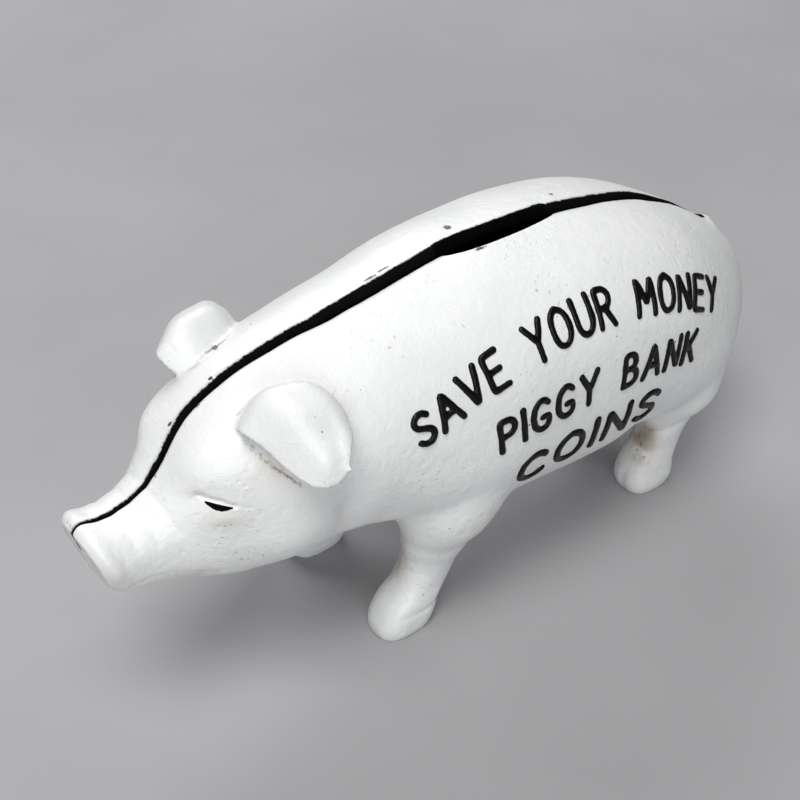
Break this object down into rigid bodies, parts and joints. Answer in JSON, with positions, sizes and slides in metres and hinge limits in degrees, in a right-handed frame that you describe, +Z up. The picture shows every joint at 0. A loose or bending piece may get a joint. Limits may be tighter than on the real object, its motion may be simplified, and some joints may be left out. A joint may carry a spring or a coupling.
{
  "type": "money box",
  "caption": "Hollow pig-shaped money box cast in two halves that meet on the mid-plane, with a coin slot over the back and a through screw.",
  "frame": {"origin": "on the ground plane under the middle of the box's length, on the plane where the halves meet", "axes": "+X from snout to rump, +Y from the left half to the right half, +Z up"},
  "size_m": [0.28, 0.0954, 0.1305],
  "materials": {
    "left_enamel": "white enamel over cast iron, gloss",
    "right_enamel": "white enamel over cast iron, gloss",
    "washer_steel": "aged steel",
    "screw_steel": "aged steel"
  },
  "bodies": {
    "left_half": {"left_half_casting": "left_enamel"},
    "right_half": {"right_half_casting": "right_enamel"},
    "washer": {"screw_washer": "washer_steel"},
    "screw": {"body_screw": "screw_steel"}
  },
  "joints": [
    {"name": "right_half_opening", "type": "slide", "parent": "left_half", "child": "right_half", "axis": [0, 1, 0], "range_m": [0, 0.09]},
    {"name": "screw_travel", "type": "slide", "parent": "right_half", "child": "washer", "axis": [0, 1, 0], "range_m": [0, 0.016]},
    {"name": "screw_spin", "type": "hinge", "parent": "washer", "child": "screw", "pos_m": [0.014, 0, 0.074], "axis": [0, 1, 0], "range_deg": [0, 5760]}
  ],
  "couplings": [
    {"joint": "screw_spin", "follows": "screw_travel", "rad_per_m": 6283.2}
  ]
}
